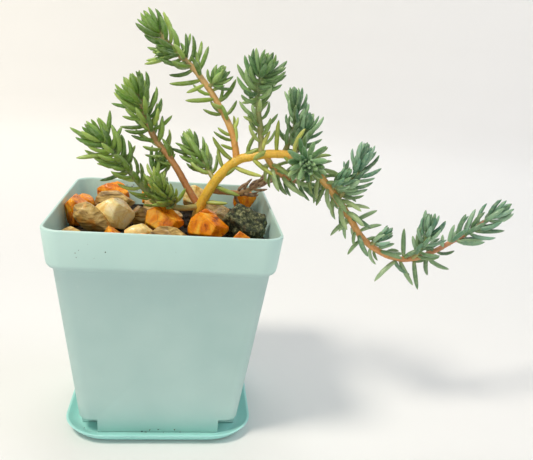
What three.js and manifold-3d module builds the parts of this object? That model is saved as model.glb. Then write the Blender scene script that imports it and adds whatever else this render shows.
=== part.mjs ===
// A trailing stonecrop in a square plastic pot with a saucer, potting mix and a top dressing of stones.
// Millimetres, +Z up. The origin is the centre of the saucer's underside; the trailing shoot reaches
// out along +X, and -Y is the front.
import * as THREE from "three";
import { ConvexGeometry } from "three/addons/geometries/ConvexGeometry.js";
import { mergeVertices } from "three/addons/utils/BufferGeometryUtils.js";
import Module from "manifold-3d";

// ---- driving dimensions -------------------------------------------------------------------------
const GAP = 0.3; // between pieces that touch
const CORNER_STEPS = 5; // facets of each rounded corner

const RIM_SIDE = 100; // across the rim's top edge
const RIM_HEIGHT = 18;
const RIM_FOOT_SIDE = 96.5; // across the rim band's lower edge
const RIM_CORNER = 8.2;
const BODY_TOP_SIDE = 92;
const BODY_FOOT_SIDE = 71.6;
const BODY_CORNER = 7.6;
const FOOT_CORNER = 5.9;
const WALL = 1.4;
const POT_HEIGHT = 101;
const FLOOR_LIFT = 8.6; // height of the pot's floor above its feet
const NOTCH_HEIGHT = 7; // the cut-out in each lower corner
const NOTCH_SIDE = 8.1; // how far each cut-out reaches in from the foot's two sides
const DRAIN_RADIUS = 3.5;
const DRAIN_OFFSET = 18;

const SAUCER_SIDE = 87;
const SAUCER_FOOT_SIDE = 78;
const SAUCER_HEIGHT = 4.8;
const SAUCER_CORNER = 19;
const SAUCER_FLOOR = 1.5;
const SAUCER_WALL = 1.3;

const POT_BASE = SAUCER_FLOOR + GAP;
const RIM_TOP = POT_BASE + POT_HEIGHT;
const RIM_FOOT = RIM_TOP - RIM_HEIGHT;
const SOIL_TOP = 91;
const STEM_BURIED = 14; // how far the main stem goes down into the mix
const GOLDEN_ANGLE = 2.39996; // turn from one leaf to the next, in radians

const COLOURS = {
  plastic: [0x9fd8cf, 0.45],
  soil: [0x2a1d14, 0.95],
  stem: [0xc98a2b, 0.6],
  shoot: [0x5f8f63, 0.55],
  amber: [0xd9741a, 0.3],
  cream: [0xe6cf9a, 0.4],
  tan: [0xb09060, 0.6],
  dark: [0x3a4038, 0.85],
};

const wasm = await Module();
wasm.setup();

// ---- helpers ------------------------------------------------------------------------------------
/** A closed cylinder whose rows are drawn out to rings of points; a last ring of one point makes a tip. */
function loft(rings) {
  const sides = rings[0].length;
  const rows = rings.length - 1;
  const tip = rings[rows].length === 1;
  const geometry = new THREE.CylinderGeometry(tip ? 0 : 1, 1, rows, sides, rows);
  const position = geometry.getAttribute("position");
  const vertex = new THREE.Vector3();
  const place = new THREE.Vector3();
  for (let i = 0; i < position.count; i++) {
    vertex.fromBufferAttribute(position, i);
    const ring = rings[Math.round(vertex.y + rows / 2)];
    if (Math.hypot(vertex.x, vertex.z) > 1e-6) {
      const turns = Math.atan2(vertex.x, vertex.z) / (2 * Math.PI);
      place.copy(ring[Math.round((turns + 1) * sides) % sides]);
    } else {
      place.set(0, 0, 0);
      ring.forEach((point) => place.addScaledVector(point, 1 / ring.length));
    }
    position.setXYZ(i, place.x, place.y, place.z);
  }
  return geometry;
}

/** A closed geometry as a solid that can be joined and cut. */
function solid(geometry) {
  const bare = new THREE.BufferGeometry();
  const plain = geometry.index ? geometry.toNonIndexed() : geometry;
  bare.setAttribute("position", plain.getAttribute("position"));
  const merged = mergeVertices(bare, 1e-3);
  const vertProperties = merged.attributes.position.array;
  const triVerts = new Uint32Array(merged.index.array);
  return new wasm.Manifold(new wasm.Mesh({ numProp: 3, vertProperties, triVerts }));
}

/** The largest of a solid's bodies. */
function largestBody(made) {
  return made.decompose().reduce((best, body) => (body.volume() > best.volume() ? body : best));
}

/** A solid as a geometry. */
function geometryOf(made) {
  const mesh = made.getMesh();
  const geometry = new THREE.BufferGeometry();
  const flat = new Float32Array(mesh.numVert * 3);
  for (let i = 0; i < mesh.numVert; i++) {
    flat.set(mesh.vertProperties.subarray(i * mesh.numProp, i * mesh.numProp + 3), i * 3);
  }
  geometry.setAttribute("position", new THREE.BufferAttribute(flat, 3));
  geometry.setIndex(new THREE.BufferAttribute(mesh.triVerts, 1));
  geometry.computeVertexNormals();
  return geometry;
}

/** A fixed sequence of numbers from 0 to 1 for each seed. */
function sequence(seed) {
  let state = seed * 7919 + 17;
  return () => {
    state = (state * 1103515245 + 12345) % 2147483648;
    return state / 2147483648;
  };
}

/** Rounded square at height z, anticlockwise from above. */
function squareRing(side, corner, z) {
  const inset = side / 2 - corner;
  const ring = [];
  for (const [sx, sy, start] of [[1, 1, 0], [-1, 1, 90], [-1, -1, 180], [1, -1, 270]]) {
    for (let step = 0; step <= CORNER_STEPS; step++) {
      const angle = THREE.MathUtils.degToRad(start + (90 * step) / CORNER_STEPS);
      const x = sx * inset + corner * Math.cos(angle);
      const y = sy * inset + corner * Math.sin(angle);
      ring.push(new THREE.Vector3(x, y, z));
    }
  }
  return ring;
}

const levels = (...rows) => loft(rows.map(([side, corner, z]) => squareRing(side, corner, z)));

// ---- pot and saucer -----------------------------------------------------------------------------
/** Side of the body's outer wall at height z. */
function bodySide(z) {
  return THREE.MathUtils.mapLinear(z, POT_BASE, RIM_FOOT, BODY_FOOT_SIDE, BODY_TOP_SIDE);
}

function potSolid() {
  const floor = POT_BASE + FLOOR_LIFT;
  const skirt = POT_BASE + NOTCH_HEIGHT;
  const shell = solid(
    levels(
      [BODY_FOOT_SIDE, FOOT_CORNER, POT_BASE],
      [bodySide(skirt), FOOT_CORNER + 1, skirt],
      [BODY_TOP_SIDE, BODY_CORNER, RIM_FOOT],
      [RIM_FOOT_SIDE - 2, RIM_CORNER - 1.5, RIM_FOOT],
      [RIM_FOOT_SIDE, RIM_CORNER, RIM_FOOT + 2],
      [RIM_SIDE, RIM_CORNER, RIM_TOP],
      [RIM_SIDE - 2 * WALL, RIM_CORNER - WALL, RIM_TOP],
      [RIM_FOOT_SIDE - 2 * WALL, RIM_CORNER - WALL, RIM_FOOT + 3],
      [BODY_TOP_SIDE - 2 * WALL, BODY_CORNER - WALL, RIM_FOOT + 1.5],
      [bodySide(floor) - 2 * WALL, FOOT_CORNER - WALL, floor],
    ),
  );
  let pot = shell;
  const hollow = BODY_FOOT_SIDE - 2 * WALL;
  const narrow = hollow - 2 * NOTCH_SIDE;
  for (const [width, depth] of [[hollow, narrow], [narrow, hollow]]) {
    const recess = new THREE.BoxGeometry(width, depth, 2 * (FLOOR_LIFT - WALL));
    recess.translate(0, 0, POT_BASE);
    pot = pot.subtract(solid(recess));
  }
  for (const [sx, sy] of [[1, 1], [-1, 1], [-1, -1], [1, -1]]) {
    const notch = new THREE.BoxGeometry(2 * NOTCH_SIDE, 2 * NOTCH_SIDE, 2 * NOTCH_HEIGHT);
    notch.translate((sx * BODY_FOOT_SIDE) / 2, (sy * BODY_FOOT_SIDE) / 2, POT_BASE);
    const drain = new THREE.CylinderGeometry(DRAIN_RADIUS, DRAIN_RADIUS, 3 * FLOOR_LIFT, 16);
    drain.rotateX(Math.PI / 2);
    drain.translate(sx * DRAIN_OFFSET, sy * DRAIN_OFFSET, floor);
    pot = pot.subtract(solid(notch)).subtract(solid(drain));
  }
  return pot;
}

function saucerSolid() {
  return solid(
    levels(
      [SAUCER_FOOT_SIDE, SAUCER_CORNER - 5, 0],
      [SAUCER_SIDE - 3, SAUCER_CORNER - 1, SAUCER_HEIGHT * 0.45],
      [SAUCER_SIDE, SAUCER_CORNER, SAUCER_HEIGHT],
      [SAUCER_SIDE - 2 * SAUCER_WALL, SAUCER_CORNER - SAUCER_WALL, SAUCER_HEIGHT],
      [SAUCER_SIDE - 6.5, SAUCER_CORNER - 3, SAUCER_HEIGHT * 0.62],
      [SAUCER_FOOT_SIDE - 2, SAUCER_CORNER - 6, SAUCER_FLOOR],
    ),
  );
}

/** The pot's inside from one height to another, in from the wall by a clearance. */
function potInside(from, to, clearance) {
  const inset = 2 * (WALL + clearance);
  const rimRow = (z) => {
    const side = THREE.MathUtils.mapLinear(z, RIM_FOOT, RIM_TOP, RIM_FOOT_SIDE, RIM_SIDE);
    return [side - inset, RIM_CORNER - WALL, z];
  };
  if (from > RIM_FOOT + 3) return solid(levels(rimRow(from), rimRow(to)));
  return solid(
    levels(
      [bodySide(from) - inset, FOOT_CORNER - WALL, from],
      [BODY_TOP_SIDE - inset, BODY_CORNER - WALL, RIM_FOOT + 1.5 + clearance],
      [RIM_FOOT_SIDE - inset, RIM_CORNER - WALL, RIM_FOOT + 3 + clearance],
      rimRow(to),
    ),
  );
}

// ---- stems and leaves ---------------------------------------------------------------------------
/** A point, its direction and two crosswise directions on a curve. */
function station(curve, t) {
  const point = curve.getPointAt(t);
  const along = curve.getTangentAt(t);
  const side = new THREE.Vector3(0, 1, 0).cross(along).normalize();
  return { point, along, side, up: along.clone().cross(side).normalize() };
}

function ringAround({ point, side, up }, width, depth, sides) {
  return Array.from({ length: sides }, (_, i) => {
    const angle = (2 * Math.PI * i) / sides;
    return point
      .clone()
      .addScaledVector(side, width * Math.cos(angle))
      .addScaledVector(up, depth * Math.sin(angle));
  });
}

/** A stem that narrows from its foot to its tip. */
function stemSolid({ curve, radius }, extra = 0) {
  const steps = Math.max(4, Math.round(curve.getLength() / 7));
  const rings = Array.from({ length: steps + 1 }, (_, i) => {
    const r = THREE.MathUtils.lerp(radius[0], radius[1], i / steps) + extra;
    return ringAround(station(curve, i / steps), r, r, 6);
  });
  return solid(loft(rings));
}

/** A plump needle leaf from foot, opening outwards and curving up towards the stem's direction. */
function leafSolid({ foot, along, out }, length, open, extra = 0) {
  const lean = (angle) =>
    along.clone().multiplyScalar(Math.cos(angle)).addScaledVector(out, Math.sin(angle));
  const middle = foot.clone().addScaledVector(lean(open + 0.15), length * 0.5);
  const tip = middle.clone().addScaledVector(lean(open - 0.25), length * 0.5 + extra);
  const side = along.clone().cross(out).normalize();
  const up = lean(open - Math.PI / 2);
  const half = length * 0.11 + extra;
  return solid(
    loft([
      ringAround({ point: foot, side, up }, half * 0.6, half * 0.55, 4),
      ringAround({ point: middle, side, up }, half, half * 0.8, 4),
      [tip],
    ]),
  );
}

const smooth = (low, high, x) => THREE.MathUtils.smoothstep(x, low, high);

/** Where a shoot's leaves sit and how each lies: sparse and spread below, crowded and upright at the tip. */
function leafPlaces({ curve, radius, leaves }) {
  const places = [];
  for (let i = 0; i < leaves.count; i++) {
    const share = (i + 0.5) / leaves.count;
    const t = Math.min(0.995, leaves.from + (1 - leaves.from) * (1 - (1 - share) ** 1.6));
    const here = station(curve, t);
    const turn = i * GOLDEN_ANGLE + (leaves.turn ?? 0);
    const out = here.side.clone().multiplyScalar(Math.cos(turn));
    out.addScaledVector(here.up, Math.sin(turn));
    const r = THREE.MathUtils.lerp(radius[0], radius[1], t);
    places.push({
      foot: here.point.clone().addScaledVector(out, r * 0.3),
      along: here.along,
      out,
      open: THREE.MathUtils.lerp(1.35, 0.4, smooth(0.4, 1, share)),
      length: leaves.length * (1 - 0.45 * smooth(0.7, 1, share)),
    });
  }
  return places;
}

function route(...points) {
  const through = points.map((point) => new THREE.Vector3(...point));
  return new THREE.CatmullRomCurve3(through, false, "centripetal");
}

// Each stem's route from its foot to its tip, its radius at both, and its leaves. A stem comes after
// the one that it grows from.
const SHOOTS = [
  {
    name: "main_stem",
    curve: route(
      [12, 3, SOIL_TOP - STEM_BURIED], [14, 1, 98], [18.5, 0, 110], [25, -1, 120],
      [31, -2, 126], [39, -4, 129], [48, -6, 131], [56, -8, 131],
    ),
    radius: [2.6, 2.1],
    leaves: { from: 0.3, count: 0, length: 12 },
  },
  {
    name: "trailing_shoot",
    grows_from: "main_stem",
    curve: route(
      [56, -8, 131], [64, -11, 127], [72, -13, 120], [79, -15, 112],
      [85, -16, 104], [92, -17, 95], [99, -17, 90], [108, -16, 86],
      [117, -15, 85], [128, -13, 88], [138, -11, 93], [149, -9, 99],
      [158, -8, 105],
    ),
    radius: [2.1, 1.0],
    leaves: { from: 0.04, count: 54, length: 12 },
  },
  {
    name: "upper_shoot",
    grows_from: "main_stem",
    curve: route(
      [31, -2, 126], [30, 0, 132], [28, 2, 139], [23, 5, 148],
      [16, 8, 158], [10, 10, 165], [3, 11, 171], [-4, 12, 177],
      [-10, 13, 184],
    ),
    radius: [1.7, 1.2],
    leaves: { from: 0.12, count: 38, length: 13 },
  },
  {
    name: "upper_side_shoot_left",
    grows_from: "upper_shoot",
    curve: route([3, 11, 172], [-2, 9, 172], [-6, 8, 172]),
    radius: [0.9, 0.7],
    leaves: { from: 0.5, count: 10, length: 6 },
  },
  {
    name: "upper_side_shoot_right",
    grows_from: "upper_shoot",
    curve: route([16, 8, 158], [19, 6, 161], [21, 4, 165]),
    radius: [1.0, 0.8],
    leaves: { from: 0.4, count: 13, length: 8 },
  },
  {
    name: "crown_shoot",
    grows_from: "main_stem",
    curve: route([42, -5, 130], [41, -4, 141], [39, -5, 151], [38, -7, 160], [40, -11, 169]),
    radius: [1.5, 1.1],
    leaves: { from: 0.12, count: 32, length: 12 },
  },
  {
    name: "back_shoot",
    grows_from: "main_stem",
    curve: route([52, -6, 131], [57, 3, 139], [59, 8, 147], [58, 10, 155]),
    radius: [1.2, 0.9],
    leaves: { from: 0.2, count: 20, length: 10 },
  },
  {
    name: "middle_shoot",
    grows_from: "main_stem",
    curve: route([56, -8, 131], [61, -3, 137], [63, -1, 144]),
    radius: [1.1, 0.8],
    leaves: { from: 0.2, count: 17, length: 10 },
  },
  {
    name: "facing_shoot",
    grows_from: "trailing_shoot",
    curve: route([60, -10, 129], [61, -18, 130], [60, -25, 131]),
    radius: [1.3, 0.9],
    leaves: { from: 0.3, count: 20, length: 11 },
  },
  {
    name: "right_shoot",
    grows_from: "trailing_shoot",
    curve: route([78, -15, 113], [83, -15, 120], [87, -14, 127], [89, -13, 133]),
    radius: [1.3, 0.9],
    leaves: { from: 0.15, count: 25, length: 11 },
  },
  {
    name: "right_side_shoot",
    grows_from: "trailing_shoot",
    curve: route([75, -14, 117], [77, -19, 122], [79, -22, 126]),
    radius: [0.9, 0.7],
    leaves: { from: 0.3, count: 11, length: 7 },
  },
  {
    name: "trailing_bud",
    grows_from: "trailing_shoot",
    curve: route([95, -17, 92], [98, -20, 95], [101, -22, 99]),
    radius: [0.9, 0.7],
    leaves: { from: 0.3, count: 10, length: 8 },
  },
  {
    name: "trailing_side_shoot",
    grows_from: "trailing_shoot",
    curve: route([118, -15, 85], [122, -17, 92], [123, -18, 98], [123, -19, 103]),
    radius: [1.1, 0.8],
    leaves: { from: 0.3, count: 19, length: 10 },
  },
  {
    name: "left_tall_shoot",
    grows_from: "main_stem",
    curve: route(
      [13, 2, 104], [9, 3, 110], [4, 5, 118], [-2, 7, 126],
      [-8, 8, 133], [-12, 8, 142], [-14, 8, 148], [-17, 7, 155],
    ),
    radius: [1.9, 1.2],
    leaves: { from: 0.3, count: 32, length: 12 },
  },
  {
    name: "left_low_shoot",
    grows_from: "main_stem",
    curve: route(
      [13, 0, 102], [5, -3, 102], [-4, -5, 105], [-11, -6, 111],
      [-17, -7, 118], [-22, -8, 124], [-27, -9, 130], [-32, -10, 135],
    ),
    radius: [1.5, 1.1],
    leaves: { from: 0.16, count: 37, length: 12 },
  },
  {
    name: "left_short_shoot",
    grows_from: "left_low_shoot",
    curve: route([-4, -5, 105], [-6, 3, 110], [-6, 8, 117], [-5, 10, 122]),
    radius: [1.0, 0.8],
    leaves: { from: 0.2, count: 15, length: 9 },
  },
  {
    name: "ground_shoot",
    grows_from: "left_low_shoot",
    curve: route([3, -4, 104], [-1, -9, 109], [-4, -12, 115]),
    radius: [1.0, 0.8],
    leaves: { from: 0.15, count: 15, length: 8 },
  },
  {
    name: "inner_shoot",
    grows_from: "main_stem",
    curve: route([21, -1, 116], [17, 4, 121], [13, 7, 126], [9, 9, 131]),
    radius: [1.2, 0.8],
    leaves: { from: 0.2, count: 19, length: 9 },
  },
  {
    name: "withered_shoot",
    grows_from: "main_stem",
    curve: route([18, 0, 111], [26, 5, 109], [35, 10, 108], [42, 14, 110], [48, 17, 114]),
    radius: [1.6, 0.9],
    leaves: { from: 0.3, count: 9, length: 8 },
  },
  {
    name: "under_shoot",
    grows_from: "main_stem",
    curve: route([44, -5, 130], [50, -1, 122], [57, 1, 118], [64, 2, 116], [69, 1, 114]),
    radius: [1.5, 0.9],
    leaves: { from: 0.25, count: 19, length: 11 },
  },
];

// ---- stones -------------------------------------------------------------------------------------
// Each stone's centre, its half sizes, its turn about Z and its tilt in degrees, and its mineral.
const STONES = {
  slab_left: [[-34.5, -12, 97.5], [5, 5.5, 12.5], -90, 47, "tan"],
  amber_left: [[-43, 2, 97], [6.4, 9, 9], 8, 5, "amber"],
  cream_quartz: [[-24, -4, 97.2], [10.6, 7, 10.2], 10, 12, "cream"],
  amber_centre: [[-2.5, -9, 97], [11, 6, 7.4], -8, 8, "amber"],
  amber_by_stem: [[17.5, -5, 97], [6.4, 5, 7], 25, 10, "amber"],
  amber_front: [[18.5, -17, 97], [10, 6.5, 8.6], -15, 0, "amber"],
  dark_rock: [[35.5, -11, 98], [13, 10, 9.4], 10, -8, "dark"],
  amber_chip: [[33, -29, 95], [4.2, 5, 5.5], 30, 0, "amber"],
  flat_front: [[-12, -23, 94.6], [7.5, 5, 4.8], 5, 0, "cream"],
  pale_front: [[0.5, -27, 94.8], [13, 5.5, 4.8], -5, 0, "tan"],
  pale_small: [[11, -38, 94], [8, 6, 5], 20, 0, "cream"],
  amber_small: [[-23, -27, 94], [4.5, 6, 5], 30, 0, "amber"],
  cream_corner: [[-40, -32, 94], [7, 6.5, 5.5], 15, 0, "tan"],
  brown_centre: [[-13, 5, 95.3], [5.5, 5, 5.5], 40, 0, "tan"],
  brown_front: [[-10, -37, 94], [10, 6.5, 5], -6, 0, "amber"],
  amber_behind: [[2, 5, 95], [5, 4.5, 5], 10, 0, "tan"],
  tan_corner: [[35, -40, 94], [7.5, 5, 5.5], 12, 0, "tan"],
  amber_back: [[-30, 40, 97], [10.5, 6, 7.5], -4, 6, "amber"],
  tan_back: [[-29, 26, 95.6], [12.5, 6.5, 6], 6, -6, "tan"],
  brown_back: [[-42, 20, 95], [5, 7, 6], 10, 0, "amber"],
  amber_leaning: [[-10, 38, 100], [7, 6, 9.5], 40, 10, "amber"],
  amber_right: [[40, 38, 96.5], [6.5, 6.5, 7.5], 20, 10, "amber"],
  pale_back: [[13, 38, 96.5], [8, 6, 7.5], 0, -8, "cream"],
  tan_right: [[38, 13, 93.5], [7.5, 10, 6], -6, 0, "tan"],
  cream_right: [[24, 25, 93.5], [8, 8, 6], 15, 0, "tan"],
  tan_middle: [[-7, 20, 95], [9, 8, 6.5], -30, 0, "tan"],
  brown_right: [[26, 7, 94.5], [6, 6.5, 5.5], 0, 0, "tan"],
};
const STONE_CORNERS = 16;

/** An angular stone: the hull of points spiralling over an ellipsoid, each a little off it. */
function stoneSolid([centre, half, turn, tilt], seed, extra = 0) {
  const next = sequence(seed);
  const points = Array.from({ length: STONE_CORNERS }, (_, i) => {
    const z = 1 - (2 * i + 1) / STONE_CORNERS;
    const flat = Math.sqrt(1 - z * z);
    const angle = i * GOLDEN_ANGLE;
    const reach = 0.86 + 0.2 * next();
    return new THREE.Vector3(
      (half[0] * reach + extra) * flat * Math.cos(angle),
      (half[1] * reach + extra) * flat * Math.sin(angle),
      (half[2] * reach + extra) * z,
    );
  });
  const hull = new ConvexGeometry(points);
  hull.rotateX(THREE.MathUtils.degToRad(tilt));
  hull.rotateZ(THREE.MathUtils.degToRad(turn));
  hull.translate(...centre);
  return solid(hull);
}

// ---- assembly -----------------------------------------------------------------------------------
const part = new THREE.Group();

function add(name, made, finish) {
  const [color, roughness] = COLOURS[finish];
  const material = new THREE.MeshStandardMaterial({ color, roughness, metalness: 0 });
  const mesh = new THREE.Mesh(geometryOf(made), material);
  mesh.name = name;
  part.add(mesh);
}

const boxOf = (made) => {
  const { min, max } = made.boundingBox();
  return new THREE.Box3(new THREE.Vector3(...min), new THREE.Vector3(...max));
};

const pot = potSolid();
add("pot", pot, "plastic");
add("saucer", saucerSolid(), "plastic");

for (const shoot of SHOOTS) {
  shoot.stem = stemSolid(shoot);
  shoot.fatStem = stemSolid(shoot, GAP + 0.1);
}
SHOOTS.forEach((shoot, i) => {
  SHOOTS.slice(0, i).forEach((earlier) => {
    shoot.stem = shoot.stem.subtract(earlier.fatStem);
  });
  shoot.stem = largestBody(shoot.stem);
});

// The mix fills the pot and the stones lie on it, each cut clear of the stem and of the stones before it.
const mainStem = SHOOTS[0];
const soilFloor = POT_BASE + FLOOR_LIFT + GAP;
add("potting_mix", potInside(soilFloor, SOIL_TOP, GAP).subtract(mainStem.fatStem), "soil");

const stoneRoom = potInside(SOIL_TOP + GAP, RIM_TOP + 8, GAP);
const placed = [];
Object.entries(STONES).forEach(([name, [centre, half, turn, tilt, mineral]], i) => {
  let stone = stoneSolid([centre, half, turn, tilt], i + 1).intersect(stoneRoom);
  for (const grown of placed) stone = stone.subtract(grown);
  for (const shoot of SHOOTS) stone = stone.subtract(shoot.fatStem);
  placed.push(stoneSolid([centre, half, turn, tilt], i + 1, GAP));
  add(`stone_${name}`, largestBody(stone), mineral);
});

// A leaf is left out where it would meet the pot, a stone or another shoot.
const obstacles = [pot, ...placed].map((made) => ({ made, box: boxOf(made), owner: null }));
SHOOTS.forEach((shoot) => obstacles.push({ made: shoot.fatStem, box: boxOf(shoot.fatStem), owner: shoot }));
for (const shoot of SHOOTS) {
  const kept = [];
  for (const place of leafPlaces(shoot)) {
    const leaf = leafSolid(place, place.length, place.open);
    const fat = leafSolid(place, place.length, place.open, GAP);
    const box = boxOf(fat);
    const blocked = obstacles.some(
      (o) => o.owner !== shoot && o.box.intersectsBox(box) && o.made.intersect(fat).volume() > 0,
    );
    if (!blocked) kept.push(leaf);
  }
  let whole = shoot.stem;
  for (const leaf of kept) whole = whole.add(leaf);
  whole = largestBody(whole);
  obstacles.push({ made: whole, box: boxOf(whole), owner: shoot });
  add(shoot.name, whole, shoot.leaves.count ? "shoot" : "stem");
}

export default part;
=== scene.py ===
"""A trailing stonecrop with needle leaves, in a square mint pot on its saucer, top-dressed with stones."""

import math
import random

import bpy
from mathutils import Matrix, Vector
from mathutils.geometry import interpolate_bezier


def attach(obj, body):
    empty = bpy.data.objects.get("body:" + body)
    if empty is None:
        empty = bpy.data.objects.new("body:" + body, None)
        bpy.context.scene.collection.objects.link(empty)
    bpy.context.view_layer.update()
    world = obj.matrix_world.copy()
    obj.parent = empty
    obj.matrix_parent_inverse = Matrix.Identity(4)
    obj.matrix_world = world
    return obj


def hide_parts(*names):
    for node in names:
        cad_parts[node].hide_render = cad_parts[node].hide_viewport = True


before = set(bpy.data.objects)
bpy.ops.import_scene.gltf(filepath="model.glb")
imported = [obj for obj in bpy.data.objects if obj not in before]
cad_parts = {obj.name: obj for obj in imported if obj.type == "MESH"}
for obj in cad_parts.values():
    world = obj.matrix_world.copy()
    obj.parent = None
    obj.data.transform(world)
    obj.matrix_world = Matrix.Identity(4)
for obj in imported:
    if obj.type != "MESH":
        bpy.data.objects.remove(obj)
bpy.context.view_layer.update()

MM = 0.001
GOLDEN_ANGLE = math.radians(137.508)
RIM_TOP = 102.8
SOIL_TOP = 91


# ---- modelling by hand ---------------------------------------------------------------------------
def pick(*pieces):
    """Leaves only these pieces selected, the first of them active."""
    bpy.ops.object.select_all(action="DESELECT")
    for piece in pieces:
        piece.select_set(True)
    bpy.context.view_layer.objects.active = pieces[0]


def edit(piece):
    pick(piece)
    bpy.ops.object.mode_set(mode="EDIT")


def done():
    bpy.ops.object.mode_set(mode="OBJECT")


def settle(piece):
    """Puts a piece's place, turn and size into its mesh."""
    pick(piece)
    bpy.ops.object.transform_apply(location=True, rotation=True, scale=True)


def modify(piece, kind, **settings):
    """Adds a modifier and applies it."""
    pick(piece)
    modifier = piece.modifiers.new(kind.title(), kind)
    for name, value in settings.items():
        setattr(modifier, name, value)
    bpy.ops.object.modifier_apply(modifier=modifier.name)


def cut(piece, cutter):
    """Cuts one piece away from another, and throws the cutter away."""
    modify(piece, "BOOLEAN", object=cutter, operation="DIFFERENCE", solver="EXACT")
    bpy.data.objects.remove(cutter)


def clean(piece):
    edit(piece)
    bpy.ops.mesh.select_all(action="SELECT")
    bpy.ops.mesh.remove_doubles(threshold=0.00001)
    bpy.ops.mesh.normals_make_consistent(inside=False)
    done()


def smooth(piece, angle=35):
    pick(piece)
    bpy.ops.object.shade_smooth_by_angle(angle=math.radians(angle))


def finish(piece, name, material, slot, *nodes):
    """Names a piece, gives it its material, ties it to the body, and hides the parts that it stands for."""
    settle(piece)
    piece.name = piece.data.name = name
    if not piece.data.materials:
        piece.data.materials.append(material)
    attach(piece, "root")
    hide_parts(*nodes)
    return piece


def rough_up(piece, pattern, grain, strength, **settings):
    """Pushes a surface in and out by a pattern with grains of that size in mm."""
    texture = bpy.data.textures.new(pattern.lower(), pattern)
    texture.noise_scale = grain * MM
    for name, value in settings.items():
        setattr(texture, name, value)
    modify(piece, "DISPLACE", texture=texture, strength=strength * MM, mid_level=0.5)


# ---- materials -----------------------------------------------------------------------------------
class Paint:
    """A material's nodes."""

    def __init__(self, name, **shader):
        self.material = bpy.data.materials.new(name)
        self.material.use_nodes = True
        self.tree = self.material.node_tree
        self.shader = self.tree.nodes["Principled BSDF"]
        for socket, value in shader.items():
            self.join(self.shader, socket.replace("_", " "), value)

    def join(self, node, socket, value):
        if isinstance(value, bpy.types.NodeSocket):
            self.tree.links.new(value, node.inputs[socket])
        else:
            node.inputs[socket].default_value = value

    def put(self, kind, settings=(), **inputs):
        node = self.tree.nodes.new("ShaderNode" + kind)
        for name, value in dict(settings).items():
            setattr(node, name, value)
        for socket, value in inputs.items():
            self.join(node, socket.replace("_", " "), value)
        return node

    def place(self, stretch=(1, 1, 1), turn=(0, 0, 0)):
        where = self.put("TexCoord").outputs["Object"]
        turn = [math.radians(angle) for angle in turn]
        return self.put("Mapping", Vector=where, Scale=stretch, Rotation=turn).outputs[0]

    def noise(self, grain, detail=3.0, rough=0.5, warp=0.0, at=None):
        """Cloudy patches about that many mm across."""
        at = at or self.place()
        found = self.put(
            "TexNoise", Vector=at, Scale=1 / (grain * MM), Detail=detail, Roughness=rough, Distortion=warp
        )
        return found.outputs[0]

    def cells(self, grain, feature="F1", at=None):
        at = at or self.place()
        return self.put("TexVoronoi", {"feature": feature}, Vector=at, Scale=1 / (grain * MM)).outputs["Distance"]

    def own(self, attribute):
        return self.put("Attribute", {"attribute_name": attribute}).outputs["Fac"]

    def between(self, value, low, high, to_low=0.0, to_high=1.0):
        node = self.put("MapRange", Value=value)
        for i, bound in enumerate((low, high, to_low, to_high)):
            node.inputs[i + 1].default_value = bound
        return node.outputs[0]

    def ramp(self, value, *stops):
        node = self.put("ValToRGB", Fac=value)
        elements = node.color_ramp.elements
        while len(elements) < len(stops):
            elements.new(0.5)
        for element, (position, colour) in zip(elements, stops):
            element.position = position
            element.color = (*colour, 1)
        return node.outputs[0]

    def mix(self, share, first, second, blend="MIX"):
        node = self.put("Mix", {"data_type": "RGBA", "blend_type": blend})
        for index, value in ((0, share), (6, first), (7, second)):
            if isinstance(value, bpy.types.NodeSocket):
                self.tree.links.new(value, node.inputs[index])
            else:
                node.inputs[index].default_value = value if index == 0 else (*value, 1)
        return node.outputs[2]

    def bump(self, height, strength, distance, under=None):
        node = self.put("Bump", Height=height, Strength=strength, Distance=distance * MM)
        if under:
            self.join(node, "Normal", under)
        return node.outputs[0]

    def wear(self, **sockets):
        for socket, value in sockets.items():
            self.join(self.shader, socket.replace("_", " "), value)
        return self.material


def mint_plastic(name, dark, light):
    """Thin moulded plastic, with painted shade on the body that deepens from the foot up to just under the rim, so the
    rim and the foot look paler.
    """
    paint = Paint(name, Subsurface_Weight=0.12, Subsurface_Scale=0.004, IOR=1.48)
    paint.shader.inputs["Subsurface Radius"].default_value = (0.8, 1.0, 1.0)
    colour = paint.ramp(paint.noise(28, 2.0), (0.3, dark), (0.7, light))
    # painted shade: the colour is darkened by height, more and more from the foot up to just under the rim, and the rim
    # is left undarkened
    height = paint.put("SeparateXYZ", Vector=paint.place()).outputs["Z"]
    painted_shade_below_rim = paint.ramp(
        paint.between(height, 0.0, 0.103), (0.0, (1, 1, 1)), (0.25, (0.93, 0.93, 0.93)), (0.6, (0.87, 0.87, 0.87)),
        (0.79, (0.80, 0.80, 0.81)), (0.835, (0.82, 0.82, 0.83)), (0.85, (1, 1, 0.98)),
    )
    colour = paint.mix(1.0, colour, painted_shade_below_rim, "MULTIPLY")
    dust = paint.between(paint.noise(2.2, 6.0, 0.7), 0.62, 0.78, 0, 0.35)
    colour = paint.mix(dust, colour, (0.62, 0.72, 0.68))
    grime = paint.between(paint.noise(0.9, 2.0, 0.5), 0.79, 0.82, 0, 0.55)
    colour = paint.mix(grime, colour, (0.16, 0.15, 0.11))
    rough = paint.between(paint.noise(9, 4.0), 0.3, 0.7, 0.34, 0.5)
    fine = paint.bump(paint.noise(0.45, 2.0), 0.06, 0.1)
    return paint.wear(Base_Color=colour, Roughness=rough, Normal=paint.bump(paint.noise(14, 1.0), 0.08, 0.6, fine))


def soil_mix():
    paint = Paint("soil_mix", Specular_IOR_Level=0.3)
    colour = paint.ramp(paint.noise(2.4, 6.0, 0.7), (0.3, (0.008, 0.005, 0.003)), (0.55, (0.03, 0.018, 0.01)),
                        (0.75, (0.08, 0.045, 0.02)))
    rough = paint.between(paint.noise(1.2), 0.35, 0.65, 0.55, 0.95)
    return paint.wear(Base_Color=colour, Roughness=rough, Normal=paint.bump(paint.noise(0.8, 5.0, 0.7), 0.8, 0.6))


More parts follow.
